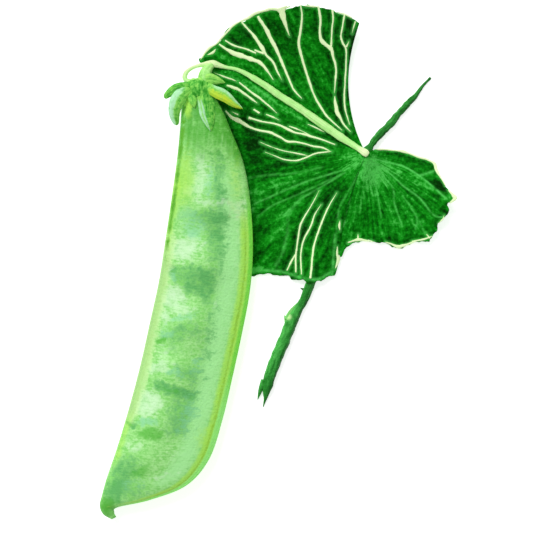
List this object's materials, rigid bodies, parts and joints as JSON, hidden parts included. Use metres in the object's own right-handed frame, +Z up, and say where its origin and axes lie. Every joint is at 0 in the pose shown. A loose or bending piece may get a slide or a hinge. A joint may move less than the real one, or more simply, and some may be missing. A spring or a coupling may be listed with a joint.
{
  "type": "pea pod on a cut sprig",
  "caption": "Closed pea pod with its calyx on a hooked stalk, joined to a short cut stem that two ruffled stipules clasp, lying on its side.",
  "frame": {"origin": "bottom centre of the whole sprig, on the surface that it lies on", "axes": "+Z up out of the pod's side, +Y along the pod from its beak towards its calyx and the larger stipule's top margin, +X from the pod towards the stem and the smaller stipule"},
  "size_m": [0.0711, 0.1026, 0.0078],
  "materials": {
    "pod_wall": "satin",
    "calyx_green": "matte",
    "sepal_pale": "matte",
    "sepal_yellow": "matte",
    "pale_stalk": "matte",
    "leaf_dark": "satin",
    "leaf_mid": "satin",
    "stem_green": "matte"
  },
  "bodies": {
    "root": {"pod": "pod_wall", "calyx_cup": "calyx_green", "sepal_front": "calyx_green", "sepal_upper_left": "calyx_green", "sepal_lower_left": "sepal_pale", "sepal_right": "sepal_yellow", "sepal_upper_right": "sepal_pale", "pedicel": "pale_stalk", "peduncle": "pale_stalk", "stipule_left": "leaf_dark", "stipule_right": "leaf_mid", "stem": "stem_green"}
  },
  "joints": []
}
